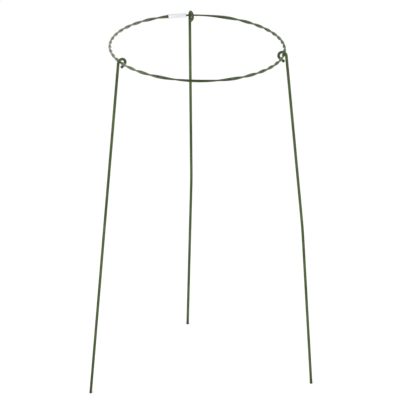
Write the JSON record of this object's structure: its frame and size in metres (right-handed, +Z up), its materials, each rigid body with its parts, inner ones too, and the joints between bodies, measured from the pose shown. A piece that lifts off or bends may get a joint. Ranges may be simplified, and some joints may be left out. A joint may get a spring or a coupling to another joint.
{
  "type": "plant support ring stake",
  "caption": "Plant support: a ring of twisted coated wire, closed by a crimp ferrule, on coated wire legs whose eyes hang on the ring so that they swing and fold.",
  "frame": {"origin": "on the ground, in the middle of the outline seen from above", "axes": "+Z up, -Y to the front, +X to the right as seen from the front"},
  "size_m": [0.3972, 0.3337, 0.6338],
  "materials": {
    "green_coat": "satin green plastic coat",
    "steel_wire": "bare cut ends",
    "bright_metal": "bright, crimped"
  },
  "bodies": {
    "ring": {"ring_strand_a_wire": "steel_wire", "ring_strand_a_coat": "green_coat", "ring_strand_b_wire": "steel_wire", "ring_strand_b_coat": "green_coat", "crimp_ferrule": "bright_metal"},
    "left_leg": {"left_leg_wire": "steel_wire", "left_leg_coat": "green_coat"},
    "right_leg": {"right_leg_wire": "steel_wire", "right_leg_coat": "green_coat"},
    "back_leg": {"back_leg_wire": "steel_wire", "back_leg_coat": "green_coat"}
  },
  "joints": [
    {"name": "left_leg_swing", "type": "hinge", "parent": "ring", "child": "left_leg", "pos_m": [-0.14956, -0.0916, 0.625], "axis": [0.5165, -0.8563, 0], "range_deg": [-170, 89.5]},
    {"name": "right_leg_swing", "type": "hinge", "parent": "ring", "child": "right_leg", "pos_m": [0.12602, -0.04326, 0.625], "axis": [0.1942, 0.981, 0], "range_deg": [-170, 96]},
    {"name": "back_leg_swing", "type": "hinge", "parent": "ring", "child": "back_leg", "pos_m": [-0.03341, 0.13537, 0.625], "axis": [-0.9966, -0.0819, 0], "range_deg": [-170, 85]}
  ]
}
